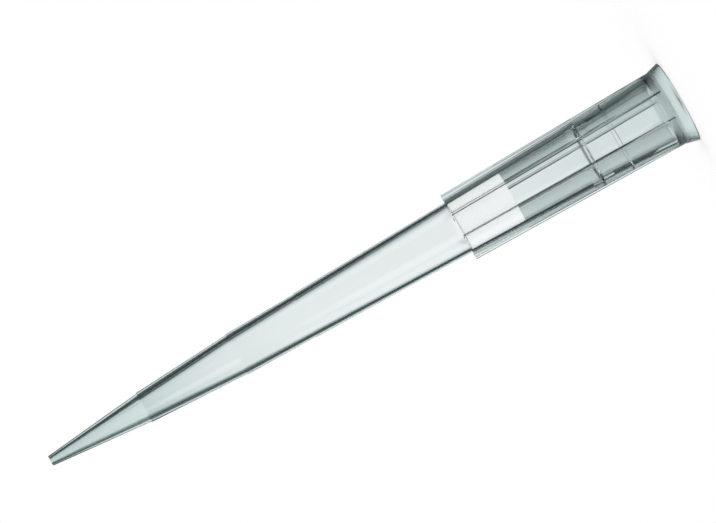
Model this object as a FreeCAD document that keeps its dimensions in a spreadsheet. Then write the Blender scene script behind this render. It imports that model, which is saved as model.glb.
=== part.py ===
"""Filter pipette tip: one clear moulded tip and the white porous plug pressed into it.

The tip stands on its mouth. The origin is the centre of the mouth's rim, +Z runs along the
axis up to the orifice, and every height in the sheet is measured from the rim unless its
note says otherwise. All lengths are in millimetres.
"""
import FreeCAD, Part
import os
import re

import Sketcher

# name, value, what it sets
SIZES = [
    ("total_length", 59.4, "rim to orifice"),
    ("orifice_bore", 0.23, "radius of the hole at the point"),
    ("orifice_wall", 0.215, "wall at the point"),
    ("mark_one_reach", 8.82, "orifice to the first volume step"),
    ("mark_two_reach", 17.59, "orifice to the second volume step"),
    ("mark_three_reach", 24.04, "orifice to the third volume step"),
    ("bore_at_one", 0.92, "bore radius at the first step"),
    ("bore_at_two", 1.475, "bore radius at the second step"),
    ("bore_at_three", 1.645, "bore radius at the third step"),
    ("wall_at_one", 0.40, "wall on the thin side of the first step"),
    ("wall_at_two", 0.375, "wall on the thin side of the second step"),
    ("wall_at_three", 0.345, "wall on the thin side of the third step"),
    ("mark_step", 0.05, "how far each volume step stands out"),
    ("barrel_head_wall", 0.30, "wall of the barrel where it meets the collar"),
    ("collar_length", 20.84, "rim to the foot of the ribbed collar"),
    ("chamber_foot", 2.135, "radius of the filter chamber at its ledge"),
    ("ledge_width", 0.10, "width of the ledge that stops the plug"),
    ("foot_wall", 0.48, "wall of the collar at its foot"),
    ("filter_depth", 20.74, "rim to the ledge under the plug"),
    ("filter_length", 4.97, "length of the plug"),
    ("filter_gap", 0.02, "gap round the plug"),
    ("filter_edge", 0.05, "bevel on the plug's ends"),
    ("seal_radius", 2.29, "radius of the sealing land at the foot of the socket"),
    ("seal_depth", 8.49, "rim to the far end of the land"),
    ("seal_length", 0.93, "length of the land"),
    ("relief_step", 0.19, "how far the relief beyond the land stands back from it"),
    ("relief_shoulder", 0.195, "length of the slope from the land into the relief"),
    ("relief_length", 0.81, "length of the relief"),
    ("chamber_step", 0.11, "how far the filter chamber stands in from the relief"),
    ("socket_wall", 0.66, "wall at the land"),
    ("socket_flare", 0.30, "how much the socket widens from the land to its lead-in"),
    ("mouth_wall", 0.685, "wall where the collar runs into the flange"),
    ("lead_in_depth", 1.69, "rim to the top of the lead-in"),
    ("lead_in_width", 0.42, "how much the lead-in widens"),
    ("lead_in_length", 0.65, "length of the lead-in"),
    ("bell_flare", 0.40, "how much the bell opens below the lead-in"),
    ("rim_wall", 0.22, "wall at the rim"),
    ("flange_height", 1.11, "rim to the back of the flange"),
    ("flange_step", 0.055, "how far the flange stands out from the collar"),
    ("fin_count", 8, "ribs round the collar"),
    ("fin_thickness", 0.175, "thickness of a rib at its edge"),
    ("fin_draft", 0.04, "how much each side of a rib slopes, across to along"),
    ("fin_foot_radius", 3.155, "reach of a rib at the foot of the collar"),
    ("fin_head_radius", 3.465, "reach of a rib at the flange"),
    ("fin_bite", 0.11, "depth of a rib's root in the wall at the flange"),
    ("fin_turn", 27.0, "angle of the first rib from +X, in degrees"),
]

# Radii and heights that several features share, each from the sizes above.
DERIVED = [
    ("one_height", "total_length - mark_one_reach"),
    ("two_height", "total_length - mark_two_reach"),
    ("three_height", "total_length - mark_three_reach"),
    ("ledge_bore", "chamber_foot - ledge_width"),
    ("barrel_head", "ledge_bore + barrel_head_wall"),
    ("collar_foot", "chamber_foot + foot_wall"),
    ("seal_start", "seal_depth - seal_length"),
    ("relief_radius", "seal_radius + relief_step"),
    ("relief_start", "seal_depth + relief_shoulder"),
    ("relief_end", "relief_start + relief_length"),
    ("chamber_head", "relief_radius - chamber_step"),
    ("socket_head", "seal_radius + socket_flare"),
    ("throat", "socket_head + lead_in_width"),
    ("throat_height", "lead_in_depth - lead_in_length"),
    ("rim_bore", "throat + bell_flare"),
    ("collar_head", "socket_head + mouth_wall"),
    ("filter_top", "filter_depth - filter_length"),
    ("chamber_slope", "(chamber_head - chamber_foot) / (filter_depth - relief_end)"),
]

doc = FreeCAD.newDocument("pipette_tip")
sheet = doc.addObject("Spreadsheet::Sheet", "Sizes")


def fill_sheet():
    """Write the driving sizes and the derived ones, one row each, with an alias."""
    for row, (alias, value, note) in enumerate(SIZES, start=1):
        sheet.set(f"A{row}", alias)
        sheet.set(f"B{row}", str(value))
        sheet.set(f"C{row}", note)
        sheet.setAlias(f"B{row}", alias)
    for row, (alias, formula) in enumerate(DERIVED, start=len(SIZES) + 1):
        sheet.set(f"A{row}", alias)
        sheet.set(f"B{row}", f"={formula}")
        sheet.setAlias(f"B{row}", alias)
        doc.recompute()
    doc.recompute()


def value_of(formula):
    """The number that a formula in the sheet's aliases stands for."""
    return float(sheet.evalExpression(formula))


def new_body(label):
    """A body of its own for one moulded or cut piece."""
    body = doc.addObject("PartDesign::Body", label)
    body.Label = label
    return body


def origin_part(body, role):
    """One of the body's own axes or planes."""
    return next(item for item in body.Origin.OriginFeatures if item.Role == role)


def outline(body, name, plane, corners, bent=()):
    """A closed outline on one of the body's planes through corners given as pairs of formulas.

    Edges are straight, apart from the ones numbered in bent: each of those is an arc that
    leaves the edge before it smoothly.
    """
    sketch = body.newObject("Sketcher::SketchObject", name)
    sketch.AttachmentSupport = [(origin_part(body, plane), "")]
    sketch.MapMode = "FlatFace"
    points = [FreeCAD.Vector(value_of(across), value_of(up), 0) for across, up in corners]
    starts = []
    for edge, start in enumerate(points):
        end = points[(edge + 1) % len(points)]
        if edge in bent:
            starts.append(add_smooth_arc(sketch, points[edge - 1], start, end))
        else:
            sketch.addGeometry(Part.LineSegment(start, end))
            starts.append(1)
    for edge in range(len(points)):
        before = edge - 1 if edge else len(points) - 1
        joint = "Tangent" if edge in bent else "Coincident"
        sketch.addConstraint(Sketcher.Constraint(joint, before, 3 - starts[before], edge, starts[edge]))
        place_corner(sketch, edge, starts[edge], corners[edge])
    doc.recompute()
    return sketch


def add_smooth_arc(sketch, before, start, end):
    """Add the arc from start to end that carries on the line from before, and say which end starts it."""
    along = (start - before).normalize()
    across = FreeCAD.Vector(-along.y, along.x, 0)
    chord = end - start
    radius = chord.dot(chord) / (2 * chord.dot(across))
    centre = start + across * radius
    middle = centre + ((start + end) / 2 - centre).normalize() * abs(radius)
    arc = sketch.addGeometry(Part.Arc(start, middle, end))
    return 1 if sketch.getPoint(arc, 1).isEqual(start, 1e-6) else 2


def place_corner(sketch, edge, point, corner):
    """Tie one corner of an outline to the sheet."""
    for kind, axis, formula in zip(("DistanceX", "DistanceY"), (-2, -1), corner):
        if formula == "0":
            sketch.addConstraint(Sketcher.Constraint("PointOnObject", edge, point, axis))
            continue
        index = sketch.addConstraint(
            Sketcher.Constraint(kind, -1, 1, edge, point, value_of(formula)))
        sketch.setExpression(f"Constraints[{index}]", in_sheet(formula))


def in_sheet(formula):
    """The formula with its aliases written as cells of the sheet."""
    return re.sub(r"[a-z_]+", lambda found: f"Sizes.{found.group()}", formula)


def revolve(body, sketch, name):
    """Turn an outline once round the vertical axis."""
    turned = body.newObject("PartDesign::Revolution", name)
    turned.Profile = sketch
    turned.ReferenceAxis = (origin_part(body, "Z_Axis"), [""])
    turned.Angle = 360
    body.Tip = turned
    doc.recompute()
    return turned


def make_tip_body():
    """The clear moulding: stepped barrel, filter chamber, conical socket, ribs and bell mouth."""
    body = new_body("tip_body")
    wall = outline(body, "wall_section", "XZ_Plane", [
        ("orifice_bore + orifice_wall", "total_length"),
        ("bore_at_one + wall_at_one", "one_height"),
        ("bore_at_one + wall_at_one + mark_step", "one_height"),
        ("bore_at_two + wall_at_two", "two_height"),
        ("bore_at_two + wall_at_two + mark_step", "two_height"),
        ("bore_at_three + wall_at_three", "three_height"),
        ("bore_at_three + wall_at_three + mark_step", "three_height"),
        ("barrel_head", "collar_length"),
        ("collar_foot", "collar_length"),
        ("seal_radius + socket_wall", "seal_depth"),
        ("collar_head", "flange_height"),
        ("collar_head + flange_step", "flange_height"),
        ("rim_bore + rim_wall", "0"),
        ("rim_bore", "0"),
        ("throat", "throat_height"),
        ("socket_head", "lead_in_depth"),
        ("seal_radius", "seal_start"),
        ("seal_radius", "seal_depth"),
        ("relief_radius", "relief_start"),
        ("relief_radius", "relief_end"),
        ("chamber_head", "relief_end"),
        ("chamber_foot", "filter_depth"),
        ("ledge_bore", "filter_depth"),
        ("bore_at_three", "three_height"),
        ("bore_at_two", "two_height"),
        ("bore_at_one", "one_height"),
        ("orifice_bore", "total_length"),
    ], bent=(9,))
    revolve(body, wall, "wall")
    add_fins(body)
    body.Placement = FreeCAD.Placement(
        FreeCAD.Vector(), FreeCAD.Rotation(FreeCAD.Vector(0, 0, 1), value_of("fin_turn")))
    body.setExpression("Placement.Rotation.Angle", in_sheet("fin_turn"))
    return body


def add_fins(body):
    """Thin upright ribs, rooted in the collar's wall, thinner at the edge and square at the foot."""
    foot = rib_section(body, "fin_foot", "chamber_foot + foot_wall / 2", "fin_foot_radius", "collar_length")
    head = rib_section(body, "fin_head", "collar_head - fin_bite", "fin_head_radius", "flange_height")
    fin = body.newObject("PartDesign::AdditiveLoft", "fin")
    fin.Profile = foot
    fin.Sections = [head]
    fin.Ruled = True
    body.Tip = fin
    doc.recompute()
    fins = body.newObject("PartDesign::PolarPattern", "fins")
    fins.Originals = [fin]
    fins.Axis = (origin_part(body, "Z_Axis"), [""])
    fins.Angle = 360
    fins.setExpression("Occurrences", in_sheet("fin_count"))
    body.Tip = fins
    doc.recompute()


def rib_section(body, name, root, reach, height):
    """A rib's outline across the tip at one height, from its root out to its reach."""
    edge = "fin_thickness / 2"
    base = f"{edge} + fin_draft * ({reach} - ({root}))"
    corners = [(root, f"-({base})"), (reach, f"-({edge})"), (reach, edge), (root, base)]
    section = outline(body, name, "XY_Plane", corners)
    section.AttachmentOffset = FreeCAD.Placement(FreeCAD.Vector(0, 0, value_of(height)), FreeCAD.Rotation())
    section.setExpression("AttachmentOffset.Base.z", in_sheet(height))
    doc.recompute()
    return section


def make_filter_plug():
    """The porous plug: it follows the chamber's taper and rests on its ledge."""
    body = new_body("filter_plug")
    foot = "chamber_foot - filter_gap"
    top = "chamber_foot + chamber_slope * filter_length - filter_gap"
    section = outline(body, "plug_section", "XZ_Plane", [
        ("0", "filter_depth"),
        (f"{foot} - filter_edge", "filter_depth"),
        (foot, "filter_depth - filter_edge"),
        (top, "filter_top + filter_edge"),
        (f"{top} - filter_edge", "filter_top"),
        ("0", "filter_top"),
    ])
    revolve(body, section, "plug")
    return body


def check_and_write(bodies):
    """Stop if any object failed, otherwise write each piece to its own file."""
    doc.recompute()
    failed = [item.Name for item in doc.Objects if {"Invalid", "Error"} & set(item.State)]
    failed += [body.Label for body in bodies if body.Shape.isNull() or not body.Shape.isValid()]
    if failed:
        raise SystemExit(f"failed: {', '.join(failed)}")
    os.makedirs("parts", exist_ok=True)
    for body in bodies:
        body.Shape.exportStep(f"parts/{body.Label}.step")
        box = body.Shape.optimalBoundingBox()
        print(f"{body.Label}: {len(body.Shape.Solids)} solid, {body.Shape.Volume:.3f} mm3, "
              f"{box.XLength:.3f} x {box.YLength:.3f} x {box.ZLength:.3f} mm")


fill_sheet()
check_and_write([make_tip_body(), make_filter_plug()])
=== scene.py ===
"""Looks of the filter pipette tip: clear moulding, white porous plug, studio and camera.

Metres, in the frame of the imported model: the tip stands on its mouth at the origin, +Z up.
"""

import math

import bmesh
import bpy
from mathutils import Matrix, Vector


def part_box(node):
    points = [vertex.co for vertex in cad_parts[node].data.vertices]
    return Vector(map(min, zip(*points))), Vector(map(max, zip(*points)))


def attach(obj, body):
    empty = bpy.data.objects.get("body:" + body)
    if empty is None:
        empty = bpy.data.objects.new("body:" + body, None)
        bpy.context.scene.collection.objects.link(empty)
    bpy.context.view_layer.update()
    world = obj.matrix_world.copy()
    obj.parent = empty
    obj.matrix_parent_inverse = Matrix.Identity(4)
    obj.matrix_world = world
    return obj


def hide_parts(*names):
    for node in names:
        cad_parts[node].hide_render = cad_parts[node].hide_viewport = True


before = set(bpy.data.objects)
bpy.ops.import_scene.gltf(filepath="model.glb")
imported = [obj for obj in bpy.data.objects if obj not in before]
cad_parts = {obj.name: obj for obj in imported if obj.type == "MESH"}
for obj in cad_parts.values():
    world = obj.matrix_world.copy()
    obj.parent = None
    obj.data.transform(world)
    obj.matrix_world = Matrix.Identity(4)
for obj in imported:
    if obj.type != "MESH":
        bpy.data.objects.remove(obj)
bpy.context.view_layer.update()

MM = 0.001
WELD = 0.0002 * MM  # points nearer than this are one point
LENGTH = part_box("tip_body")[1].z / MM
PLUG_LOW, PLUG_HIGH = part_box("filter_plug")

# The moulding's sizes, in millimetres: heights and depths count from the rim, reaches from
# the orifice, and radii are of the outside or of the bore as named.
ORIFICE_BORE = 0.23
ORIFICE_WALL = 0.215
MARK_REACHES = (8.82, 17.59, 24.04)
BORES_AT_MARKS = (0.92, 1.475, 1.645)
WALLS_AT_MARKS = (0.40, 0.375, 0.345)
MARK_STEP = 0.05
BARREL_HEAD_BORE = 2.035
BARREL_HEAD_WALL = 0.30
COLLAR_LENGTH = 20.84
FILTER_DEPTH = 20.74
CHAMBER_FOOT = 2.135
FOOT_WALL = 0.48
CHAMBER_HEAD = 2.37
RELIEF_RADIUS = 2.48
RELIEF_TOP = 9.495
RELIEF_START = 8.685
SEAL_RADIUS = 2.29
SEAL_DEPTH = 8.49
SEAL_LENGTH = 0.93
SOCKET_WALL = 0.66
SOCKET_HEAD = 2.59
MOUTH_WALL = 0.685
LEAD_IN_DEPTH = 1.69
LEAD_IN_WIDTH = 0.42
LEAD_IN_LENGTH = 0.65
BELL_FLARE = 0.40
RIM_WALL = 0.22
RIM_ROUND = 0.065
FLANGE_HEIGHT = 1.11
FLANGE_STEP = 0.055
PARTING_HEIGHT = 5.90
PARTING_RIDGE = 0.02
PARTING_HALF_WIDTH = 0.04
FIN_COUNT = 8
FIN_THICKNESS = 0.175
FIN_DRAFT = 0.03
FIN_ROOT_ROUND = 0.02
FIN_ROOT_SHARE = 0.45  # the root's rounding is at most this share of how far a rib stands out
FIN_TIP_ROUND = 0.06
FIN_FOOT_RADIUS = 3.155
FIN_HEAD_RADIUS = 3.465
FIN_TURN = math.radians(27)
PLUG_ROUND = 0.09

# How finely the meshes are divided.
PLUG_STEPS = 128  # facets round the plug
ARC_STEPS = 20    # facets of the wall between two ribs
ROOT_STEPS = 4    # facets of the wall across a rib's root
ROUND_STEPS = 4   # facets of a small rounding
FLARE_RINGS = 12  # rings along the collar's curved flare
WAIST = ROUND_STEPS + 1  # place of the waist in a rib's outline, counted in from either end
LEVEL_CORNER = math.radians(1)  # level edges that turn by more than this are sharp
SHARP_CORNER = math.radians(4)  # and so are other edges that turn by more than this

# The plastic, with what changes along it given as stops of a height in millimetres and a value.
PLASTIC_IOR = 1.49
ABSORPTION = 120  # to a metre
THROUGH_COLOUR = (0.87, 0.91, 0.91, 1)
CLEAR_COLOURS = ((0.994, 1, 1, 1), (1, 1, 1, 1))
MILKY_COLOUR = (0.885, 0.925, 0.925, 1)
POLISH = (0.012, 0.035)  # the least and most roughness where the mould was polished
FLOW = {"scale": 260, "detail": 3, "stretch": (1, 1, 0.12)}
RIPPLE = {"scale": 1400, "detail": 2, "stretch": (1, 1, 0.3)}
RIPPLE_DEPTH = 0.00012
# The bell and the narrow end are milky.
HAZE = ((0, 0.8), (1.6, 0.8), (1.9, 0), (44, 0), (49.7, 0.26), (50.5, 0.5), (51, 0.72),
        (53, 0.76), (57, 1), (60, 1))
# They are rougher than the polish too, and so are the lead-in and the relief groove.
ROUGHNESS = ((0, 0.08), (0.8, 0.08), (0.95, 0.35), (1.55, 0.35), (1.8, 0), (8.3, 0),
             (8.6, 0.08), (9.5, 0.08), (9.8, 0), (44, 0), (49.7, 0.026), (50.5, 0.05),
             (51, 0.072), (53, 0.076), (57, 0.1), (60, 0.1))

# The plug's beads and pores.
PLUG_COLOURS = ((0.975, 1, 1, 1), (0.925, 0.945, 0.94, 1))
PLUG_ROUGHNESS = (0.82, 1.0)
PLUG_SHINE = 0.2
BEADS = 9000  # to a metre
BEAD_DEPTH = 0.02
PORES = {"scale": 1500, "detail": 4}
NOISE_RANGE = (0.3, 0.7)  # nearly all of a noise lies between these

# Light shines through the plastic from fields with dark between them. On the floor the fields are
# painted light and the dark between them is painted shade, both seen only through the plastic.
# A field has the bearing of its middle, and stops of an angle from there and a brightness, in
# degrees.
FIELD_COLOURS = ((0, (0.035, 0.05, 0.054)), (0.4, (0.335, 0.416, 0.416)),
                 (0.7, (0.60, 0.69, 0.69)), (0.85, (0.755, 0.83, 0.83)),
                 (1.0, (0.92, 0.965, 0.965)))
MAIN_FIELD = (90, ((-20, 0), (-16, 0.66), (-12, 0.79), (-8, 0.94), (-4, 1.0), (8, 1.0),
                   (16, 0.95), (20, 0.70), (25, 0.42), (30, 0)))
MAIN_FLOOR_FIELD = (90, ((-60, 0), (-45, 0.08), (-20, 0.08), (-16, 0.45), (-8, 0.55),
                         (-6.5, 0.78), (-3.5, 0.82), (-2.8, 1.0), (3.4, 1.0), (5, 0.66),
                         (16, 0.64), (20, 0.60), (25, 0.45), (30, 0)))
WIDE_STOPS = ((-26, 0), (-18, 0.8), (-8, 1.0), (8, 1.0), (18, 0.8), (26, 0))
NARROW_STOPS = ((-9, 0), (-4, 1.0), (4, 1.0), (9, 0))
SIDE_FIELD = (180, WIDE_STOPS)
# On the floor, UNDER_TIP is painted light right under the tip, seen only through the plastic.
UNDER_TIP = (-90, ((-155, 0), (-145, 0.9), (145, 0.9), (155, 0)))  # all but towards the main field
# How the fields around the tip fall off downwards and upwards, in degrees.
FIELD_HEIGHT = ((-90, 0), (-14, 0), (-9, 0.8), (-5.5, 0.92), (-3, 1.0), (2, 1.0), (3.5, 0.88),
                (4.5, 0.76), (35, 0.70), (45, 0), (90, 0))
# The fields on the floor, each with how it falls off by the distance from the tip in millimetres.
# The main field is painted dark within 17 mm of the tip, a painted shadow round the mouth seen
# through the plastic.
ALL_ALONG = ((0, 1), (1000, 1))
FLOOR_FIELDS = (
    (MAIN_FLOOR_FIELD, ((0, 0), (17, 0), (24, 0.85), (60, 0.85), (130, 0.88), (340, 0.955),
                        (1000, 1.0))),
    (UNDER_TIP, ((0, 1), (4.2, 1), (5, 0))),
    ((135, WIDE_STOPS), ((0, 1), (22, 1), (33, 0))),
    ((135, NARROW_STOPS), ((0, 1), (28, 1), (40, 0.6), (106, 0.6), (120, 0))),
    (SIDE_FIELD, ALL_ALONG),
    ((-45, WIDE_STOPS), ALL_ALONG))
WHITE = (1, 1, 1, 1)
FLOOR_SIDE = 3.0  # metres

# The camera, in millimetres, level with the tip and rolled about its line of sight.
CAMERA_PLACE = (1.675, -361.04, 29.375)
CAMERA_ROLL = math.radians(29.793)
CAMERA_LENS = 221
CAMERA_SENSOR = 36


def section():
    """The moulding's outline as four stretches of (radius, height): barrel, collar, mouth, bore."""
    marks = [LENGTH - reach for reach in MARK_REACHES]
    collar_head = SOCKET_HEAD + MOUTH_WALL
    throat = SOCKET_HEAD + LEAD_IN_WIDTH
    rim_bore = throat + BELL_FLARE
    barrel = [(ORIFICE_BORE + ORIFICE_WALL, LENGTH)]
    for bore, wall, height in zip(BORES_AT_MARKS, WALLS_AT_MARKS, marks):
        barrel += [(bore + wall, height), (bore + wall + MARK_STEP, height)]
    barrel.append((BARREL_HEAD_BORE + BARREL_HEAD_WALL, COLLAR_LENGTH))
    foot = (CHAMBER_FOOT + FOOT_WALL, COLLAR_LENGTH)
    collar = [foot] + flare(foot, (SEAL_RADIUS + SOCKET_WALL, SEAL_DEPTH),
                            (collar_head, FLANGE_HEIGHT))
    mouth = softened([(collar_head + FLANGE_STEP, FLANGE_HEIGHT),
                      (rim_bore + RIM_WALL, 0, RIM_ROUND),
                      (rim_bore, 0, RIM_ROUND),
                      (throat, LEAD_IN_DEPTH - LEAD_IN_LENGTH),
                      (SOCKET_HEAD, LEAD_IN_DEPTH)])
    bore = [(SEAL_RADIUS, SEAL_DEPTH - SEAL_LENGTH), (SEAL_RADIUS, SEAL_DEPTH),
            (RELIEF_RADIUS, RELIEF_START), (RELIEF_RADIUS, RELIEF_TOP),
            (CHAMBER_HEAD, RELIEF_TOP), (CHAMBER_FOOT, FILTER_DEPTH),
            (BARREL_HEAD_BORE, FILTER_DEPTH),
            *zip(reversed(BORES_AT_MARKS), reversed(marks)), (ORIFICE_BORE, LENGTH)]
    return barrel, collar, mouth, bore


def arc(centre, start, end, steps):
    """Points from start to end round the centre, the short way."""
    first, last = Vector(start) - centre, Vector(end) - centre
    sweep = first.angle_signed(last)
    points = []
    for step in range(steps + 1):
        spoke = first.copy()
        spoke.rotate(Matrix.Rotation(-sweep * step / steps, 2))
        points.append(tuple(centre + spoke))
    return points


def softened(path):
    """The path with each corner that has a third value rounded to that radius."""
    points = []
    for number, (radius, height, *rounding) in enumerate(path):
        if not rounding:
            points.append((radius, height))
            continue
        corner = Vector((radius, height))
        before, after = ((Vector(path[number + side][:2]) - corner).normalized()
                         for side in (-1, 1))
        half = before.angle(after) / 2
        centre = corner + (before + after).normalized() * rounding[0] / math.sin(half)
        reach = rounding[0] / math.tan(half)
        points += arc(centre, corner + before * reach, corner + after * reach, ROUND_STEPS)
    return points


def flare(before, start, end):
    """Points along the arc that carries on the line from before to start and ends at end."""
    along = (Vector(start) - Vector(before)).normalized()
    across = Vector((-along.y, along.x))
    chord = Vector(end) - Vector(start)
    radius = chord.length_squared / (2 * chord.dot(across))
    return arc(Vector(start) + across * radius, start, end, FLARE_RINGS)


def with_ridge(path):
    """The collar's outline with the fine ridge that the mould's parting leaves round it."""
    points = []
    for (radius, height), (next_radius, next_height) in zip(path, path[1:]):
        points.append((radius, height))
        if height > PARTING_HEIGHT > next_height:
            share = (height - PARTING_HEIGHT) / (height - next_height)
            middle = radius + (next_radius - radius) * share
            points += [(middle, PARTING_HEIGHT + PARTING_HALF_WIDTH),
                       (middle + PARTING_RIDGE, PARTING_HEIGHT),
                       (middle, PARTING_HEIGHT - PARTING_HALF_WIDTH)]
    return points + path[-1:]


def rib_outline(wall, reach, waist=None):
    """A rib's outline in its own frame, out from the wall along one side and back along the other.

    The point at the waist on each side lies on that radius, or halfway out if none is given.
    """
    edge = FIN_THICKNESS / 2
    root = edge + FIN_DRAFT * (reach - wall)
    rounding = min(FIN_ROOT_ROUND, FIN_ROOT_SHARE * (reach - wall))
    centre = Vector((math.sqrt((wall + rounding) ** 2 - (root + rounding) ** 2), -root - rounding))
    start = centre * wall / (wall + rounding)
    side = arc(centre, start, (centre.x, -root), ROUND_STEPS)
    shoulder = reach - FIN_TIP_ROUND
    tip = arc(Vector((shoulder, FIN_TIP_ROUND - edge)), (shoulder, -edge),
              (reach, FIN_TIP_ROUND - edge), ROUND_STEPS)
    middle = waist or (centre.x + shoulder) / 2
    half = edge + (root - edge) * (shoulder - middle) / (shoulder - centre.x)
    if waist:
        middle = math.sqrt(waist ** 2 - half ** 2)
    sides = side + [(middle, -half)] + tip
    return sides + [(x, -y) for x, y in reversed(sides)]


class Shell:
    """Points and faces of the moulding as they are added, ring by ring.

    A ring has one span for each rib: the points across the rib's root, the points of the
    wall up to the next rib and, where the rib stands out, the outline of the rib.
    """

    def __init__(self):
        self.points, self.faces = [], []

    def point(self, x, y, height, turn):
        """Add a point given in the frame of the rib at that turn."""
        self.points.append((MM * (x * math.cos(turn) - y * math.sin(turn)),
                            MM * (x * math.sin(turn) + y * math.cos(turn)), MM * height))
        return len(self.points) - 1

    def ring(self, radius, height, reach=None, waist=None, root=FIN_THICKNESS / 2):
        """Add a ring of the wall; ribs stand out to reach, with a point at waist on their sides."""
        outline = rib_outline(radius, reach, waist) if reach else [(radius, root)]
        half = math.asin(outline[-1][1] / radius)
        gap = 2 * math.pi / FIN_COUNT - 2 * half
        angles = {"root": [half * (2 * step / ROOT_STEPS - 1) for step in range(ROOT_STEPS + 1)],
                  "arc": [half + gap * step / ARC_STEPS for step in range(1, ARC_STEPS)]}
        ring = []
        for fin in range(FIN_COUNT):
            turn = FIN_TURN + 2 * math.pi * fin / FIN_COUNT
            span = {name: [self.point(radius * math.cos(angle), radius * math.sin(angle),
                                      height, turn) for angle in along]
                    for name, along in angles.items()}
            if reach:
                outer = [self.point(x, y, height, turn) for x, y in outline[1:-1]]
                span["edge"] = [span["root"][0], *outer, span["root"][-1]]
            ring.append(span)
        return ring

    def strip(self, first, second):
        """Quads between two rows of as many points."""
        for a, b, c, d in zip(first, first[1:], second[1:], second):
            self.faces.append((a, b, c, d))

    def gap(self, ring, fin):
        """The points of the wall from one rib to the next."""
        following = ring[(fin + 1) % FIN_COUNT]
        return [ring[fin]["root"][-1], *ring[fin]["arc"], following["root"][0]]

    def band(self, first, second):
        """The wall between two rings, right round."""
        rows = [[point for span in ring for point in span["root"] + span["arc"]]
                for ring in (first, second)]
        self.strip(*[row + row[:1] for row in rows])

    def ribbed_band(self, first, second):
        """The wall and the ribs between two rings."""
        for fin in range(FIN_COUNT):
            self.strip(self.gap(first, fin), self.gap(second, fin))
            self.strip(first[fin]["edge"], second[fin]["edge"])

    def foot_faces(self, ring):
        """The flat ends of the ribs at the collar's foot."""
        for span in ring:
            self.faces.append((*span["root"], *reversed(span["edge"][1:-1])))

    def flange_faces(self, ribbed, flange):
        """The flange's face between the ribs, and the ends of the ribs outside it."""
        for fin in range(FIN_COUNT):
            edge, following = ribbed[fin]["edge"], ribbed[(fin + 1) % FIN_COUNT]["edge"]
            self.faces.append((*self.gap(ribbed, fin), *following[1:WAIST],
                               *reversed(self.gap(flange, fin)), *edge[-WAIST:-1]))
            self.faces.append((*flange[fin]["root"], *reversed(edge[WAIST + 1:-WAIST - 1])))


def tip_mesh():
    """The whole moulding as one closed shell."""
    shell = Shell()
    barrel, collar, mouth, bore = section()
    collar = with_ridge(collar)
    slope = (FIN_HEAD_RADIUS - FIN_FOOT_RADIUS) / (COLLAR_LENGTH - FLANGE_HEIGHT)
    reaches = [FIN_FOOT_RADIUS + slope * (COLLAR_LENGTH - height) for _, height in collar]
    flange_radius = mouth[0][0]
    rings = [shell.ring(*point) for point in barrel]
    ribbed = [shell.ring(*point, reach) for point, reach in zip(collar[:-1], reaches)]
    ribbed.append(shell.ring(*collar[-1], reaches[-1], flange_radius))
    width = rib_outline(collar[-1][0], reaches[-1], flange_radius)[-1 - WAIST][1]
    smooth = [shell.ring(*mouth[0], root=width)]
    smooth += [shell.ring(*point) for point in mouth[1:] + bore]
    for upper, lower in zip(rings, rings[1:] + ribbed[:1]):
        shell.band(upper, lower)
    shell.foot_faces(ribbed[0])
    for upper, lower in zip(ribbed, ribbed[1:]):
        shell.ribbed_band(upper, lower)
    shell.flange_faces(ribbed[-1], smooth[0])
    for lower, upper in zip(smooth, smooth[1:]):
        shell.band(lower, upper)
    shell.band(smooth[-1], rings[0])
    mesh = bpy.data.meshes.new("clear_tip")
    mesh.from_pydata(shell.points, [], shell.faces)
    return tidy(mesh)


def plug_mesh():
    """The plug, turned round the axis, with its cut edges rounded over."""
    foot, top = PLUG_HIGH.z / MM, PLUG_LOW.z / MM
    wide = PLUG_HIGH.x / MM
    taper = (CHAMBER_HEAD - CHAMBER_FOOT) / (FILTER_DEPTH - RELIEF_TOP)
    narrow = wide - taper * (foot - top)
    path = softened([(wide / 2, top), (wide, top, PLUG_ROUND),
                     (narrow, foot, PLUG_ROUND), (narrow / 2, foot)])
    turns = [2 * math.pi * step / PLUG_STEPS for step in range(PLUG_STEPS)]
    work = bmesh.new()
    rings = [[work.verts.new((MM * radius * math.cos(turn), MM * radius * math.sin(turn),
                              MM * height)) for turn in turns] for radius, height in path]
    for first, second in zip(rings, rings[1:]):
        for corners in zip(first, first[1:] + first[:1], second[1:] + second[:1], second):
            work.faces.new(corners)
    for ring in (rings[0], rings[-1]):
        work.faces.new(ring)
    mesh = bpy.data.meshes.new("white_plug")
    work.to_mesh(mesh)
    work.free()
    return tidy(mesh)


def tidy(mesh):
    """Face outwards, leave out unused points and shade smooth up to sharp corners."""
    work = bmesh.new()
    work.from_mesh(mesh)
    bmesh.ops.remove_doubles(work, verts=work.verts, dist=WELD)
    loose = [vert for vert in work.verts if not vert.link_faces]
    bmesh.ops.delete(work, geom=loose, context="VERTS")
    bmesh.ops.recalc_face_normals(work, faces=work.faces)
    if work.calc_volume(signed=True) < 0:
        bmesh.ops.reverse_faces(work, faces=work.faces)
    for edge in work.edges:
        level = abs(edge.verts[0].co.z - edge.verts[1].co.z) < WELD
        edge.smooth = edge.calc_face_angle(0) < (LEVEL_CORNER if level else SHARP_CORNER)
    work.to_mesh(mesh)
    work.free()
    mesh.shade_smooth()
    return mesh


def new_object(name, mesh, material):
    """Link a mesh into the scene with its material."""
    mesh.materials.append(material)
    piece = bpy.data.objects.new(name, mesh)
    bpy.context.scene.collection.objects.link(piece)
    return piece


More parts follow.
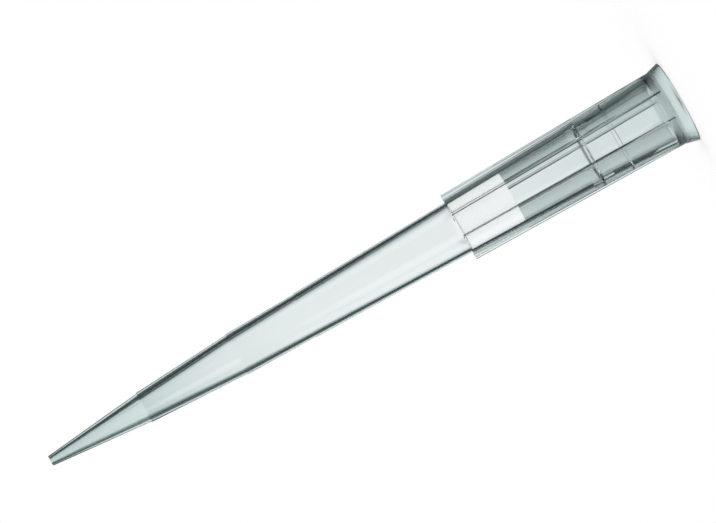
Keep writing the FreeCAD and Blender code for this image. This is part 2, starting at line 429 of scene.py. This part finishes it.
class Graph:
    """Short ways to add nodes to a material's or the world's tree."""

    def __init__(self, tree):
        self.nodes, self.links = tree.nodes, tree.links

    def add(self, kind, inputs=(), **settings):
        """Add a node; its inputs are numbers, colours or other nodes' outputs, by name or place."""
        node = self.nodes.new("ShaderNode" + kind)
        for name, value in settings.items():
            setattr(node, name, value)
        for key, value in dict(inputs).items():
            if isinstance(value, bpy.types.NodeSocket):
                self.links.new(value, node.inputs[key])
            else:
                node.inputs[key].default_value = value
        return node

    def axes(self, vector):
        """The three parts of a vector."""
        return [self.add("SeparateXYZ", {0: vector}).outputs[axis] for axis in "XYZ"]

    def maths(self, operation, *values):
        """The result of one step of arithmetic."""
        return self.add("Math", enumerate(values), operation=operation).outputs[0]

    def noise(self, place, scale, detail, stretch=(1, 1, 1)):
        """Cloudy noise of that many cells to a metre, stretched along the axes."""
        mapped = self.add("Mapping", {"Vector": place, "Scale": stretch}).outputs[0]
        settings = {"Vector": mapped, "Scale": scale, "Detail": detail}
        return self.add("TexNoise", settings).outputs["Fac"]

    def between(self, value, low, high):
        """A number from low to high as a noise goes through its range."""
        least, most = NOISE_RANGE
        return self.add("MapRange", {"Value": value, "From Min": least, "From Max": most,
                                     "To Min": low, "To Max": high}).outputs[0]

    def blend(self, value, low, high):
        """A colour from low to high as the value goes from 0 to 1."""
        # The colours' own sockets come at these places among those of the node's other kinds.
        return self.add("Mix", {0: value, 6: low, 7: high}, data_type="RGBA").outputs[2]

    def bump(self, shader, height, depth):
        """Raise the surface by the height, with that many millimetres of relief where it is 1."""
        bump = self.add("Bump", {"Height": height, "Strength": 1.0, "Distance": depth * MM})
        self.links.new(bump.outputs[0], shader.inputs["Normal"])

    def curve(self, value, stops):
        """A brightness or a colour that follows the value from stop to stop in straight lines."""
        low, high = stops[0][0], stops[-1][0]
        place = self.add("MapRange", {"Value": value, "From Min": low, "From Max": high}).outputs[0]
        ramp = self.add("ValToRGB", {"Fac": place})
        elements = ramp.color_ramp.elements  # a new ramp has two
        for number, (at, bright) in enumerate(stops):
            where = (at - low) / (high - low)
            element = elements[number] if number < 2 else elements.new(where)
            element.position = where
            colour = bright if isinstance(bright, tuple) else (bright, bright, bright)
            element.color = (*colour, 1)
        return ramp.outputs["Color"]

    def light_field(self, x, y, field):
        """The brightness of a light field towards x, y."""
        middle, stops = field
        bearing = self.maths("DEGREES", self.maths("ARCTAN2", y, x))
        aside = self.maths("WRAP", self.maths("SUBTRACT", bearing, middle), 180.0, -180.0)
        return self.curve(aside, ((-180, 0), *stops, (180, 0)))

    def brightest(self, values):
        """The largest of several values."""
        values = list(values)
        while len(values) > 1:
            values.append(self.maths("MAXIMUM", values.pop(), values.pop()))
        return values[0]

    def seen_plainly(self):
        """1 for what the camera sees directly and what lights matt surfaces, 0 through plastic."""
        path = self.add("LightPath")
        matt = self.maths("GREATER_THAN", path.outputs["Diffuse Depth"], 0.5)
        return self.maths("MAXIMUM", path.outputs["Is Camera Ray"], matt)


def principled(name, **values):
    """A material with one Principled shader, and that shader."""
    material = bpy.data.materials.new(name)
    material.use_nodes = True
    shader = material.node_tree.nodes["Principled BSDF"]
    for key, value in values.items():
        shader.inputs[key.replace("_", " ")].default_value = value
    return material, shader


def clear_plastic():
    """Polypropylene: nearly clear, a little uneven from the mould, blue-green in its thickness."""
    material, shader = principled("clear_polypropylene", IOR=PLASTIC_IOR, Transmission_Weight=1.0)
    graph = Graph(material.node_tree)
    place = graph.add("TexCoord").outputs["Object"]
    flow = graph.noise(place, **FLOW)
    height = graph.maths("MULTIPLY", graph.axes(place)[2], 1 / MM)
    clear = graph.blend(flow, *CLEAR_COLOURS)
    colour = graph.blend(graph.curve(height, HAZE), clear, MILKY_COLOUR)
    roughness = graph.maths("ADD", graph.curve(height, ROUGHNESS), graph.between(flow, *POLISH))
    graph.links.new(colour, shader.inputs["Base Color"])
    graph.links.new(roughness, shader.inputs["Roughness"])
    graph.bump(shader, graph.noise(place, **RIPPLE), RIPPLE_DEPTH)
    body = graph.add("VolumeAbsorption", {"Color": THROUGH_COLOUR, "Density": ABSORPTION})
    graph.links.new(body.outputs[0], graph.nodes["Material Output"].inputs["Volume"])
    return material


def porous_white():
    """Sintered polyethylene: matt white beads fused together, with fine pores between them."""
    material, shader = principled("sintered_white", Specular_IOR_Level=PLUG_SHINE)
    graph = Graph(material.node_tree)
    place = graph.add("TexCoord").outputs["Object"]
    grain = graph.add("TexVoronoi", {"Vector": place, "Scale": BEADS}).outputs["Distance"]
    cloud = graph.noise(place, **PORES)
    colour = graph.blend(graph.maths("MULTIPLY", grain, cloud), *PLUG_COLOURS)
    graph.links.new(colour, shader.inputs["Base Color"])
    graph.links.new(graph.between(cloud, *PLUG_ROUGHNESS), shader.inputs["Roughness"])
    graph.bump(shader, graph.maths("SUBTRACT", 1.0, grain), BEAD_DEPTH)
    return material


def studio():
    """White surroundings, with light fields and dark card for what shines through the plastic."""
    world = bpy.data.worlds.new("studio")
    bpy.context.scene.world = world
    world.use_nodes = True
    world.cycles.sampling_method = "NONE"  # evenly lit, so nothing in it has to be aimed at
    graph = Graph(world.node_tree)
    x, y, z = graph.axes(graph.add("TexCoord").outputs["Generated"])
    height = graph.maths("DEGREES", graph.maths("ARCSINE", z))
    around = graph.brightest(graph.light_field(x, y, field) for field in (MAIN_FIELD, SIDE_FIELD))
    fields = graph.maths("MULTIPLY", around, graph.curve(height, FIELD_HEIGHT))
    colour = graph.blend(graph.seen_plainly(), graph.curve(fields, FIELD_COLOURS), WHITE)
    graph.links.new(colour, graph.nodes["Background"].inputs["Color"])


def floor():
    """A plain white floor. Seen only through the plastic, it carries painted light fields with
    painted shade between them.
    """
    mesh = bpy.data.meshes.new("floor")
    half = FLOOR_SIDE / 2
    corners = [(-half, -half, 0), (half, -half, 0), (half, half, 0), (-half, half, 0)]
    mesh.from_pydata(corners, [], [(0, 1, 2, 3)])
    material = bpy.data.materials.new("floor_white_with_painted_light")
    material.use_nodes = True
    graph = Graph(material.node_tree)
    graph.nodes.remove(graph.nodes["Principled BSDF"])
    x, y, _ = graph.axes(graph.add("TexCoord").outputs["Object"])
    squares = (graph.maths("MULTIPLY", axis, axis) for axis in (x, y))
    distance = graph.maths("MULTIPLY", graph.maths("SQRT", graph.maths("ADD", *squares)), 1 / MM)
    # Painted light fields and painted shade on the floor, shown only to rays that come through the
    # plastic.
    fields = graph.brightest(
        graph.maths("MULTIPLY", graph.light_field(x, y, field), graph.curve(distance, fall))
        for field, fall in FLOOR_FIELDS)
    matt = graph.add("BsdfDiffuse", {"Color": WHITE})
    light = graph.add("Emission", {"Color": graph.curve(fields, FIELD_COLOURS)})
    mixed = graph.add("MixShader", {0: graph.seen_plainly(), 1: light.outputs[0],
                                    2: matt.outputs[0]})
    graph.links.new(mixed.outputs[0], graph.nodes["Material Output"].inputs["Surface"])
    new_object("floor", mesh, material)


def camera():
    """The photograph's view: from the side, rolled so that the mouth points up to the right."""
    data = bpy.data.cameras.new("camera")
    data.sensor_width = CAMERA_SENSOR
    data.lens = CAMERA_LENS
    right = Vector((-math.sin(CAMERA_ROLL), 0, -math.cos(CAMERA_ROLL)))
    up = Vector((math.cos(CAMERA_ROLL), 0, -math.sin(CAMERA_ROLL)))
    back = Vector((0, -1, 0))
    place = Matrix((right, up, back)).transposed().to_4x4()
    place.translation = Vector(CAMERA_PLACE) * MM
    lens = bpy.data.objects.new("camera", data)
    lens.matrix_world = place
    bpy.context.scene.collection.objects.link(lens)
    bpy.context.scene.camera = lens


bpy.context.scene.view_settings.view_transform = "Standard"
bpy.context.scene.cycles.blur_glossy = 0  # light reaches the plug through the wall unweakened
camera()
studio()
floor()
tip = new_object("clear_tip", tip_mesh(), clear_plastic())
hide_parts("tip_body")
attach(tip, "root")
plug = new_object("white_plug", plug_mesh(), porous_white())
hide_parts("filter_plug")
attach(plug, "root")
